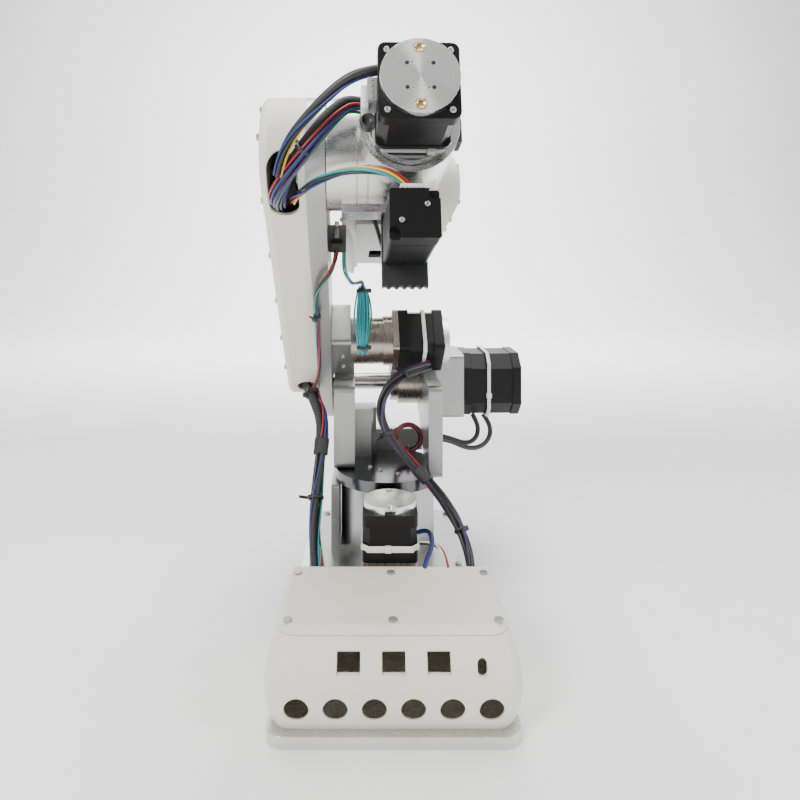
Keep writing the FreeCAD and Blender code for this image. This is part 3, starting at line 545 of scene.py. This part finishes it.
def collar(name, place, along, radius, body):
    """Heat-shrink sleeve over the splice where two lengths of a harness meet."""
    bm = bmesh.new()
    turned(bm, [(radius - 1.2, -7), (radius - 0.2, -6.8), (radius, -5.5), (radius - 0.25, -2),
                (radius + 0.1, 2), (radius, 5.5), (radius - 0.2, 6.8), (radius - 1.2, 7)],
           place, along)
    riding(bm, name, Matrix.Identity(4), [SLEEVE], body)


def span(pieces, first, second, route):
    """Bake each piece's placement into its mesh."""
    for piece in pieces:
        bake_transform(piece)


def left_harness():
    lower, line = bundle("left_harness_lower_wires", LEFT_LOWER, [
        (2.7, 3.0, 200, 0.3, 0.3, SLEEVE), (2.5, 3.1, 10, 0.3, 0.3, PURPLE_BROWN),
        (1.9, 2.8, 100, 0.3, 0.5, BLACK_WIRE), (0.8, 4.2, 290, 0.5, 1.0, RED_WIRE),
        (0.8, 4.6, 260, 0.4, 1.2, TEAL_WIRE), (0.8, 4.9, 315, 0.3, 0.8, GREEN_WIRE),
        (0.8, 2.6, 275, 0.6, 1.4, WHITE_WIRE), (0.7, 4.9, 140, 0.4, 0.9, BLUE_WIRE),
    ], "left_harness_lower")
    tie_low = tie("left_tie_low", line, 0.72, 5.9, TIE_BLACK, turn=2.0)
    tie_end = tie("left_tie_entry", line, 0.12, 5.9, TIE_BLACK, turn=1.0)
    span([lower, tie_low, tie_end], "base", "turret", LEFT_LOWER)
    upper, line = bundle("left_harness_upper_wires", LEFT_UPPER, [
        (3.6, 2.0, 200, 0.1, 0.0, SLEEVE), (2.2, 3.6, 20, 0.2, 0.2, PURPLE_BROWN),
        (1.7, 4.1, 100, 0.3, 0.4, BLACK_WIRE),
        (0.8, 5.1, 290, 0.3, 0.3, BLUE_WIRE), (0.8, 5.1, 325, 0.3, 0.3, PURPLE_WIRE),
        (0.8, 5.2, 255, 0.4, 0.4, RED_WIRE),
    ], "left_harness_upper")
    tie_high = tie("left_tie_high", line, 0.7, 5.9, TIE_BLACK, turn=3.6)
    span([upper, tie_high], "turret", "upper_arm", LEFT_UPPER)
    along = Vector(LEFT_UPPER[1]) - Vector(LEFT_UPPER[0])
    collar("left_harness_collar", LEFT_UPPER[0], along, 6.4, "turret")


def right_harness():
    strands = [
        (2.1, 1.9, 90, 0.4, 0.2, BLACK_WIRE), (2.1, 1.9, 270, 0.4, 0.2, BLACK_WIRE),
        (0.8, 3.6, 0, 0.6, 0.6, RED_WIRE), (0.8, 3.4, 40, 0.5, 0.5, PURPLE_WIRE),
        (0.7, 3.8, 180, 0.6, 0.7, PURPLE_WIRE), (1.4, 3.4, 215, 0.4, 0.3, BLACK_WIRE),
    ]
    lower, line = bundle("right_harness_lower_wires", RIGHT_LOWER, strands,
                         "right_harness_lower")
    tie_low = tie("right_tie_low", line, 0.55, 4.2, TIE_BLACK, turn=0.4)
    span([lower, tie_low], "base", "turret", RIGHT_LOWER)
    upper, line = bundle("right_harness_upper_wires", RIGHT_UPPER, strands,
                         "right_harness_upper")
    tie_mid = tie("right_tie_mid", line, 0.3, 4.2, TIE_BLACK, turn=2.4)
    tie_top = tie("right_tie_top", line, 0.85, 4.2, TIE_BLACK, turn=1.2)
    span([upper, tie_mid, tie_top], "turret", "upper_arm", RIGHT_UPPER)
    along = Vector(RIGHT_UPPER[1]) - Vector(RIGHT_UPPER[0])
    collar("right_harness_collar", RIGHT_UPPER[0], along, 4.9, "turret")


def elbow_cords():
    main, line = bundle("elbow_harness_wires", ELBOW_HARNESS, [
        (3.0, 2.0, 90, 0.2, 0.2, SLEEVE), (2.2, 2.4, 240, 0.2, 0.3, BLACK_WIRE),
        (0.8, 4.6, 170, 0.3, 0.7, RED_WIRE), (0.8, 4.7, 200, 0.3, 0.5, BLUE_WIRE),
        (0.8, 4.4, 225, 0.4, 0.9, PURPLE_WIRE), (0.8, 4.8, 255, 0.3, 0.5, GREEN_WIRE),
        (0.8, 4.6, 285, 0.3, 0.7, PURPLE_WIRE), (0.8, 4.5, 315, 0.4, 0.5, BLUE_WIRE),
        (1.2, 4.0, 345, 0.3, 0.4, BLACK_WIRE), (0.7, 5.0, 30, 0.3, 0.8, RED_WIRE),
    ], "elbow_harness")
    strap = tie("elbow_tie", line, 0.55, 4.4, TIE_BLACK, tail=14.0, turn=0.8)
    span([main, strap], "upper_arm", "elbow", ELBOW_HARNESS)
    lead, _ = bundle("j4_motor_lead_wires", J4_LEAD, [
        (0.9, 1.6, 0, 0.8, 0.4, TEAL_WIRE), (0.9, 1.6, 72, 0.8, 0.3, BLACK_WIRE),
        (0.8, 1.7, 144, 0.8, 0.5, BLUE_WIRE), (0.8, 1.7, 216, 0.8, 0.6, RED_WIRE),
        (0.8, 1.6, 288, 0.8, 0.4, YELLOW_WIRE),
    ], "j4_motor_lead")
    span([lead], "upper_arm", "elbow", J4_LEAD)
    branch, _ = bundle("forearm_harness_wires", FOREARM_HARNESS, [
        (2.4, 0.8, 90, 0.2, 0.1, BLACK_WIRE), (1.1, 2.3, 250, 0.4, 0.3, BLACK_WIRE),
        (0.7, 2.8, 200, 0.5, 0.3, BLUE_WIRE), (0.7, 2.7, 310, 0.5, 0.3, YELLOW_WIRE),
    ], "forearm_harness")
    span([branch], "elbow", "forearm", FOREARM_HARNESS)


def j2_cords():
    for name, route, node in (("j2_motor_cable_jacket", J2_CABLE, "j2_motor_cable"),
                              ("j2_encoder_cable_jacket", J2_ENCODER_CABLE, "j2_encoder_cable")):
        cable, _ = bundle(name, route, [(2.3, 0, 0, 0, 0, BLACK_WIRE)], node)
        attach(cable, "turret")


def winding(name, route, diameter, finish, matrix, body, node=None):
    """A wire wound many times: one open curve with its own thickness."""
    curve = spline_curve(name, route)
    curve.bevel_depth = diameter / 2 * MM
    curve.bevel_resolution = 3
    curve.use_fill_caps = True
    curve.materials.append(finish)
    piece = bpy.data.objects.new(name, curve)
    piece.matrix_world = matrix
    bpy.context.scene.collection.objects.link(piece)
    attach(piece, body)
    length = line_length(spline_line(name + "_line", route))
    if node:
        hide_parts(node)


COIL_CENTRE = (19.5, 12.0, 128.0)


def coil_route(radius, shift, turns, start):
    """Loose turns in the coil's plane, each a little larger and off centre."""
    steps = 14 * turns
    route = []
    for step in range(steps + 1):
        angle = start + 2 * math.pi * step / 14
        turn = step / 14
        reach = radius + 0.9 * math.sin(1.7 * turn + shift)
        route.append((COIL_CENTRE[0] + reach * math.cos(angle),
                      COIL_CENTRE[1] + shift + 1.1 * math.sin(0.9 * turn + shift),
                      COIL_CENTRE[2] + reach * math.sin(angle)))
    return route


def wire_coil():
    node = "wire_coil"
    for index, (radius, shift, finish) in enumerate((
            (12.4, -2.0, DARK_RED_WIRE), (11.2, 0.2, BLACK_WIRE), (13.0, 1.6, DARK_RED_WIRE))):
        winding(f"wire_coil_{index}", coil_route(radius, shift, 3, 0.5 + index), 1.7, finish,
                TURRET_FRAME, "turret", node)
        node = None
    bottom = Vector(COIL_CENTRE) + Vector((0, 0, -11.5))
    bm = bmesh.new()
    turned(bm, [(3.9, -1.2), (4.6, -1.2), (4.6, 1.2), (3.9, 1.2)], bottom, (1, 0, 0))
    block(bm, (COIL_CENTRE[0] - 1.9, 6.2, 113.5), (COIL_CENTRE[0] + 1.9, 9.2, 117.2), 0.4)
    riding(bm, "wire_coil_tie", TURRET_FRAME, [TIE_BLACK], "turret")


HANK_X = -24.0
HANK_Y = -64.0
HANK_LOW = 220.0
HANK_HIGH = 274.0
HANK_TIE_LOW = 224.0
HANK_TIE_HIGH = 270.0
HANK_COLUMN = 2.1
HANK_LAYER = 0.8
HANK_FOLD_WANDER = 2.2
HANK_BELLY = (0.5, 0.55, 0.85, 1.0, 0.8, 0.45)


def hank_route(side, depth, folds):
    """Wire folded up and down between the hank's ends, fullest half way up."""
    route = []
    for fold in range(folds):
        column = fold // 2 + (folds // 2 if fold % 2 else 0)
        across = side + HANK_COLUMN * column + 0.4 * math.sin(2.3 * fold + depth)
        layer = depth + (HANK_LAYER if fold % 2 else -HANK_LAYER)
        low = HANK_LOW + HANK_FOLD_WANDER * math.sin(1.9 * fold + side)
        high = HANK_HIGH - HANK_FOLD_WANDER + HANK_FOLD_WANDER * math.cos(1.4 * fold + side)
        heights = (low, HANK_LOW + 10, HANK_LOW + 18, HANK_LOW + 30, HANK_LOW + 42, high)
        run = [(HANK_X + across * belly, HANK_Y + layer * belly, height)
               for belly, height in zip(HANK_BELLY, heights)]
        route.extend(run if fold % 2 == 0 else reversed(run))
    return route


def wire_hank():
    node = "wire_hank"
    for index, (side, depth, finish) in enumerate((
            (-7.0, -2.6, TEAL_WIRE), (-4.6, -0.4, TEAL_WIRE), (-5.2, 1.8, BLUE_WIRE),
            (-3.4, 3.3, GREEN_WIRE))):
        winding(f"wire_hank_{index}", hank_route(side, depth, 6), 1.5, finish,
                TURRET_FRAME, "upper_arm", node)
        node = None
    bm = bmesh.new()
    for height, wide in ((HANK_TIE_LOW, 4.2), (HANK_TIE_HIGH, 4.4)):
        place = Vector((HANK_X, HANK_Y, height))
        turned(bm, [(wide, -1.2), (wide + 0.9, -1.2), (wide + 0.9, 1.2), (wide, 1.2)], place, (0, 0, 1))
        block(bm, place + Vector((wide - 1, -2, -1.7)), place + Vector((wide + 2.6, 1.6, 1.7)), 0.4)
    riding(bm, "wire_hank_ties", TURRET_FRAME, [TIE_BLACK], "upper_arm")


J1_POWER = [(21.4, -90, 76), (29, -90.5, 77), (37, -94, 76), (42, -101, 72), (43, -110, 66)]
J1_SIGNAL = [(21.4, -80, 80), (28, -82, 83), (32.5, -90, 83), (32, -99, 77), (27, -107, 70),
             (25.5, -111, 65.5)]
# This one is in the upper arm's own frame.
ARM_WIRES = [(-44, -24.5, 238), (-45, -33, 235), (-49, -40.5, 229), (-56, -43, 220),
             (-60.5, -41.5, 202), (-59.5, -39.5, 174), (-60.5, -38, 142), (-60, -36.5, 112), (-61, -35.5, 84),
             (-64, -36, 60), (-70, -36.5, 47)]
HANK_LEAD = [(-34, -126, 306), (-34.5, -123, 295), (-32.5, -113, 284), (-29, -99, 278),
             (-25, -84, 277.5), (-21.5, -73, 278.5), (-21.4, -65.5, 271)]


def small_leads():
    lead, _ = bundle("hank_lead_wires", HANK_LEAD, [
        (0.75, 0.9, 0, 0.7, 0.3, TEAL_WIRE), (0.75, 0.9, 120, 0.7, 0.3, GREEN_WIRE),
        (0.75, 0.9, 240, 0.7, 0.3, BLUE_WIRE)])
    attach(lead, "upper_arm")
    power, _ = bundle("j1_power_wires", J1_POWER, [
        (0.75, 0.8, 0, 0.5, 0.1, RED_WIRE), (0.75, 0.8, 120, 0.5, 0.1, WHITE_WIRE),
        (0.75, 0.8, 240, 0.5, 0.1, BLACK_WIRE)])
    signal, _ = bundle("j1_signal_wires", J1_SIGNAL, [
        (1.3, 0.6, 0, 0.4, 0.1, BLUE_WIRE), (0.9, 1.1, 180, 0.4, 0.1, BLUE_WIRE),
        (0.8, 1.2, 90, 0.4, 0.1, BLACK_WIRE)])
    for piece in (power, signal):
        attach(piece, "base")
    route = [tuple(ARM_FRAME @ (Vector(point) * MM) / MM) for point in ARM_WIRES]
    wires, line = bundle("arm_edge_wires", route, [
        (0.8, 0.9, 0, 1.2, 0.2, BLACK_WIRE), (0.75, 1.0, 90, 1.2, 0.3, RED_WIRE),
        (0.75, 1.0, 180, 1.2, 0.2, BLUE_WIRE), (0.75, 1.0, 270, 1.2, 0.3, GREEN_WIRE)])
    strap = tie("arm_edge_tie", line, 0.5, 1.9, TIE_BLACK, tail=5.0, turn=1.5)
    for piece in (wires, strap):
        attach(piece, "upper_arm")


left_harness()
right_harness()
elbow_cords()
j2_cords()
wire_coil()
wire_hank()
small_leads()


# ---------------------------------------------------------------- small hardware

def search_tree(name):
    mesh = frame["nodes"][name].data
    return BVHTree.FromPolygons([vertex.co for vertex in mesh.vertices],
                                [tuple(polygon.vertices) for polygon in mesh.polygons])


def screw(bm, place, axis, radius):
    """Socket button-head screw standing on a surface."""
    height = radius * 0.75
    profile = [(radius, -0.3), (radius, height * 0.45), (radius * 0.86, height * 0.85),
               (radius * 0.62, height), (radius * 0.5, height), (radius * 0.48, height * 0.3),
               (0, height * 0.3)]
    turned(bm, profile, place, axis, sides=24, hex_from=4)


def screws_on(name, node, body, matrix, starts, direction, radius):
    """Screws where lines from the starts, in the matrix's frame, first meet a CAD node."""
    tree = search_tree(node)
    heading = (matrix.to_3x3() @ Vector(direction)).normalized()
    bm = bmesh.new()
    for start in starts:
        place, normal, _, _ = tree.ray_cast(matrix @ (Vector(start) * MM), heading)
        if place is not None:
            screw(bm, place / MM, normal, radius)
    riding(bm, name, Matrix.Identity(4), [STEEL], body)


def motor_band(name, body, matrix, axis, centre, half, corner, width, finish, head_side):
    """Cable tie round a motor with cut corners; axis 0, 1 or 2 is the motor's length."""
    first, second = [index for index in range(3) if index != axis]
    cut = half - corner
    outline = [(half, -cut), (half, cut), (cut, half), (-cut, half), (-half, cut), (-half, -cut),
               (-cut, -half), (cut, -half)]
    bm = bmesh.new()
    rings = []
    for grow, along in ((0.1, -width / 2), (1.0, -width / 2), (1.15, 0), (1.0, width / 2),
                        (0.1, width / 2)):
        ring = []
        for a, b in outline:
            place = Vector(centre)
            place[axis] += along
            place[first] += a * (half + grow) / half
            place[second] += b * (half + grow) / half
            ring.append(bm.verts.new(place * MM))
        rings.append(ring)
    for lower, upper in zip(rings, rings[1:]):
        join_rings(bm, lower, upper)
    for face in bm.faces:
        face.smooth = False
    head = Vector(centre) + Vector(head_side) * half
    head_reach = Vector((2.4, 2.4, 2.4))
    block(bm, head - head_reach, head + head_reach, 0.6)
    riding(bm, name, matrix, [finish], body)


def motor_bands():
    motor_band("j1_motor_band", "base", BASE_FRAME, 2, (0, -82, 77.5), 21.2, 5, 4.6, TIE_WHITE,
               (-0.07, -1.0, 0))
    motor_band("j2_motor_band", "turret", TURRET_FRAME, 0, (99.5, 64.2, 169.8), 30.0, 9, 3.2,
               TIE_WHITE, (0, -1.0, -0.3))
    motor_band("j3_motor_band", "upper_arm", ARM_FRAME, 0, (32, 0, 75), 21.2, 5, 3.2, TIE_WHITE,
               (0, -0.75, -0.75))
    motor_band("j5_motor_band", "forearm", ELBOW_FRAME, 1, (0, -65, 0), 21.2, 5, 3.4, TIE_GREY,
               (0.5, 0, -1.0))


def frame_screws():
    top = 130.0
    screws_on("turret_disc_screws", "turret_disc", "turret", BASE_FRAME,
              [(-16, -8, top), (-7, -16, top), (8.4, -26, top)], (0, 0, -1), 2.2)
    screws_on("guide_plate_screw", "j1_housing", "base", BASE_FRAME, [(-46, -70, 67)], (0, 1, 0), 1.9)
    screws_on("j3_mount_screws", "j3_mount_block", "upper_arm", BASE_FRAME,
              [(-40.3, -90, 208), (-40.3, -90, 197)], (0, 1, 0), 2.0)
    screws_on("top_plate_screws", "base_top_plate", "base", BASE_FRAME,
              [(x, y, top) for x in (-58, 58) for y in (-50, 54)], (0, 0, -1), 2.6)
    face = 150.0
    screws_on("j2_motor_screws", "j2_motor", "turret", TURRET_FRAME,
              [(face, 64.2 + y, 169.8 + z) for y in (-24, 24) for z in (-17, 17)], (-1, 0, 0), 2.0)
    screws_on("j3_motor_screws", "j3_motor", "upper_arm", ARM_FRAME,
              [(face, y, 75 + z) for y in (-15.5, 15.5) for z in (-15.5, 15.5)], (-1, 0, 0), 1.7)
    rear = -160.0
    screws_on("j5_motor_screws", "j5_motor", "forearm", ELBOW_FRAME,
              [(x, rear, z) for x in (-16.6, 16.6) for z in (-16.6, 16.6)], (0, 1, 0), 1.8)
    screws_on("j4_cover_screws", "j4_motor", "elbow", ELBOW_FRAME,
              [(6.7, rear, -55), (-7.3, rear, -64)], (0, 1, 0), 1.7)
    side = 90.0
    outline = [(60, 14), (60, -14), (88, -20), (88, 22), (118, -20), (118, 20), (148, -18),
               (148, 18), (178, -15), (178, 15), (205, 0)]
    screws_on("forearm_right_screws", "forearm_right_cover", "forearm", ELBOW_FRAME,
              [(side, y, z) for y, z in outline], (-1, 0, 0), 1.9)
    screws_on("forearm_left_screws", "forearm_left_cover", "forearm", ELBOW_FRAME,
              [(-side, y, z) for y, z in outline], (1, 0, 0), 1.9)


def disc_details():
    """Counterbored screws in the rear of the top motor's disc, and black discs that paint the shade of each
    small dowel hole.
    """
    face = -114.5
    back = (0, -1, 0)
    brass = bmesh.new()
    for height in (-15.6, 15.6):
        turned(brass, [(3.1, -0.2), (3.1, 0.25), (2.5, 0.35), (2.4, -0.1), (1.3, -0.1),
                       (1.2, -0.15), (0, -0.15)], (0, face, height), back, hex_from=4)
    riding(brass, "j5_disc_screws", ELBOW_FRAME, [BRASS], "forearm")
    # Painted shade: thin black discs, a little proud of the face, stand in for the dark inside of each dowel
    # hole.
    hole_shade = bmesh.new()
    for step in range(4):
        angle = math.radians(45 + 90 * step)
        place = (9.5 * math.cos(angle), face, 9.5 * math.sin(angle))
        turned(hole_shade, [(1.1, -0.1), (1.1, 0.08), (0.9, 0.1), (0, 0.05)], place, back, sides=20)
    riding(hole_shade, "j5_disc_painted_hole_shade", ELBOW_FRAME, [BLACK_PLASTIC], "forearm")


def connector(name, body, matrix, low, high, pins, across, finish):
    """Moulded plug housing with a row of raised contact chambers."""
    bm = bmesh.new()
    block(bm, low, high, 0.5)
    size = Vector(high) - Vector(low)
    for pin in range(pins):
        share = (pin + 0.5) / pins
        centre = (Vector(low) + Vector(high)) / 2
        centre[across] = low[across] + size[across] * share
        centre[1] = low[1]
        reach = Vector((0.7, 0.5, 0.7))
        block(bm, centre - reach, centre + reach, 0.2)
    riding(bm, name, matrix, [finish], body)


def connectors():
    connector("j5_white_connector", "forearm", ELBOW_FRAME, (-29.5, -96, -10), (-25.6, -84, 3.5),
              5, 2, CONNECTOR_WHITE)
    connector("j5_grey_connector", "forearm", ELBOW_FRAME, (-26.4, -99, -6.5), (-21.0, -82, 6.5),
              4, 2, CONNECTOR_GREY)
    connector("j4_white_connector", "elbow", ELBOW_FRAME, (-7.6, -69.5, -46.2), (5.6, -62, -42.2),
              6, 0, CONNECTOR_WHITE)
    plug = bmesh.new()
    turned(plug, [(0, -5), (2.2, -5), (2.6, -4), (3.9, -3.4), (4.1, -2), (4.1, 4), (3.7, 4.6),
                  (3.0, 4.8), (2.9, 3.8), (0, 3.8)], (-26.0, -94, -17.5), (0, -1, 0))
    riding(plug, "j5_round_connector", ELBOW_FRAME, [BLACK_PLASTIC], "forearm")


def switch_lever(name, body, matrix, corner, length, lift):
    """Steel lever of a limit switch, hinged at one end, with a roller at the other."""
    bm = bmesh.new()
    x, y, z = corner
    block(bm, (x, y, z), (x + 3.2, y + length, z + 0.5), 0.2)
    block(bm, (x, y, z - lift), (x + 3.2, y + 0.6, z + 0.5), 0.2)
    turned(bm, [(0, -1.6), (1.9, -1.6), (2.1, -1.2), (2.1, 1.2), (1.9, 1.6), (0, 1.6)],
           (x + 1.6, y + length - 1.5, z + 2.0), (1, 0, 0), sides=20)
    riding(bm, name, matrix, [STEEL], body)


motor_bands()
frame_screws()
disc_details()
connectors()
switch_lever("arm_switch_lever", "upper_arm", ARM_FRAME, (-45.5, -24, 249.6), 12, 1.4)
switch_lever("elbow_switch_lever", "elbow", ELBOW_FRAME, (28.2, -40, 8.6), 15, 1.4)


# ---------------------------------------------------------------- studio

def backdrop():
    """Pale floor that curves up into a wall far behind the object."""
    bm = bmesh.new()
    half_width = 3.5
    bend = 1.0
    profile = [(-3.5, 0.0)]
    for step in range(13):
        angle = math.pi / 2 * step / 12
        profile.append((1.6 + bend * math.sin(angle), bend * (1 - math.cos(angle))))
    profile.append((1.6 + bend, 4.0))
    rows = [[bm.verts.new((x, y, z)) for x in (-half_width, half_width)] for y, z in profile]
    for low, high in zip(rows, rows[1:]):
        face = bm.faces.new((low[0], low[1], high[1], high[0]))
        face.smooth = True
    floor = make_object(bm, "studio_floor", Matrix.Identity(4),
                        [surface("studio_floor", (0.93, 0.93, 0.93), 0.75, grain=30.0,
                                 spread=0.01, bump=0.05, edge=0)])


def soft_light(name, place, aim, size, power):
    data = bpy.data.lights.new(name, "AREA")
    data.shape = "RECTANGLE"
    data.size, data.size_y = size
    data.energy = power
    lamp = bpy.data.objects.new(name, data)
    lamp.location = place
    lamp.rotation_euler = (Vector(aim) - Vector(place)).to_track_quat("-Z", "Y").to_euler()
    bpy.context.scene.collection.objects.link(lamp)


def studio_air():
    """Pale surroundings to look at, and a darker horizon under a bright ceiling to reflect."""
    world = bpy.data.worlds.new("studio_air")
    world.use_nodes = True
    nodes = world.node_tree.nodes
    links = world.node_tree.links
    room = nodes["Background"]
    room.inputs["Strength"].default_value = 0.75
    seen = nodes.new("ShaderNodeBackground")
    seen.inputs["Color"].default_value = (0.93, 0.94, 0.95, 1)
    seen.inputs["Strength"].default_value = 0.95
    place = nodes.new("ShaderNodeTexCoord")
    height = nodes.new("ShaderNodeSeparateXYZ")
    ramp = nodes.new("ShaderNodeValToRGB")
    ramp.color_ramp.elements[0].position = 0.0
    ramp.color_ramp.elements[0].color = (0.16, 0.16, 0.17, 1)
    ramp.color_ramp.elements[1].position = 0.7
    ramp.color_ramp.elements[1].color = (1.0, 1.0, 1.0, 1)
    ray = nodes.new("ShaderNodeLightPath")
    mix = nodes.new("ShaderNodeMixShader")
    links.new(place.outputs["Generated"], height.inputs["Vector"])
    links.new(height.outputs["Z"], ramp.inputs["Fac"])
    links.new(ramp.outputs["Color"], room.inputs["Color"])
    links.new(ray.outputs["Is Camera Ray"], mix.inputs["Fac"])
    links.new(room.outputs["Background"], mix.inputs[1])
    links.new(seen.outputs["Background"], mix.inputs[2])
    links.new(mix.outputs["Shader"], nodes["World Output"].inputs["Surface"])
    bpy.context.scene.world = world


def studio():
    backdrop()
    middle = (0, -0.03, 0.2)
    soft_light("key_left", (-0.8, -1.1, 1.0), middle, (0.45, 0.6), 20)
    soft_light("fill_right", (1.2, -0.7, 0.5), middle, (0.3, 0.9), 8)
    soft_light("overhead", (0, 0.1, 1.5), middle, (1.0, 1.0), 26)
    soft_light("back_wall", (0, 0.9, 1.2), (0, 2.4, 0.6), (2.0, 0.6), 95)
    studio_air()


studio()
